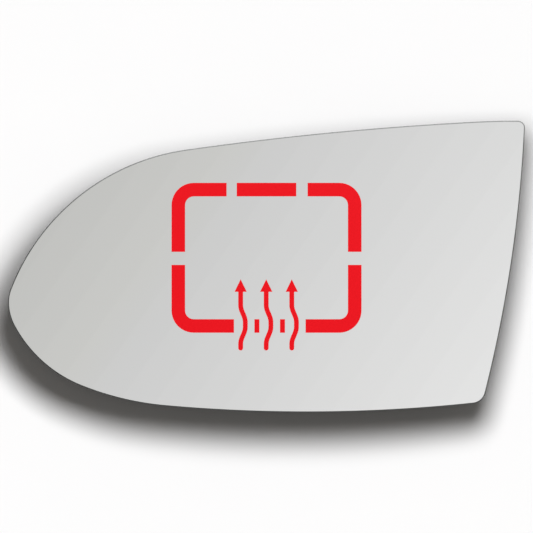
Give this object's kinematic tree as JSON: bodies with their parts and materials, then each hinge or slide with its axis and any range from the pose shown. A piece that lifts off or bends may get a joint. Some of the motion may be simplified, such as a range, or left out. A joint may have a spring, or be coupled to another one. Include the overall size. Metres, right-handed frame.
{
  "type": "heated door mirror glass",
  "caption": "Convex heated mirror glass for a car's left door mirror, on a moulded carrier plate with a clip ring and blade terminals at the back.",
  "frame": {"origin": "centre of the bounding box of the whole object, at the end face of the clip ring that it lies on", "axes": "+Z out of the mirror's face, +X from the outboard tip to the inboard side, +Y to the upper edge of the glass"},
  "size_m": [0.1788, 0.1006, 0.0161],
  "materials": {
    "mirror_glass": "silvered convex glass with a ground edge",
    "symbol_film": "cut film with a satin gloss",
    "heater_track": "etched foil",
    "heater_film": "clear amber film",
    "terminal": "tinned sheet",
    "rivet": "tinned",
    "adhesive": "fine foam",
    "carrier_plate": "moulded with a fine grain"
  },
  "bodies": {
    "root": {"mirror_glass": "mirror_glass", "heating_symbol": "symbol_film", "heater_track": "heater_track", "heater_film": "heater_film", "upper_terminal": "terminal", "lower_terminal": "terminal", "terminal_rivets": "rivet", "adhesive_sheet": "adhesive", "carrier_plate": "carrier_plate"}
  },
  "joints": []
}
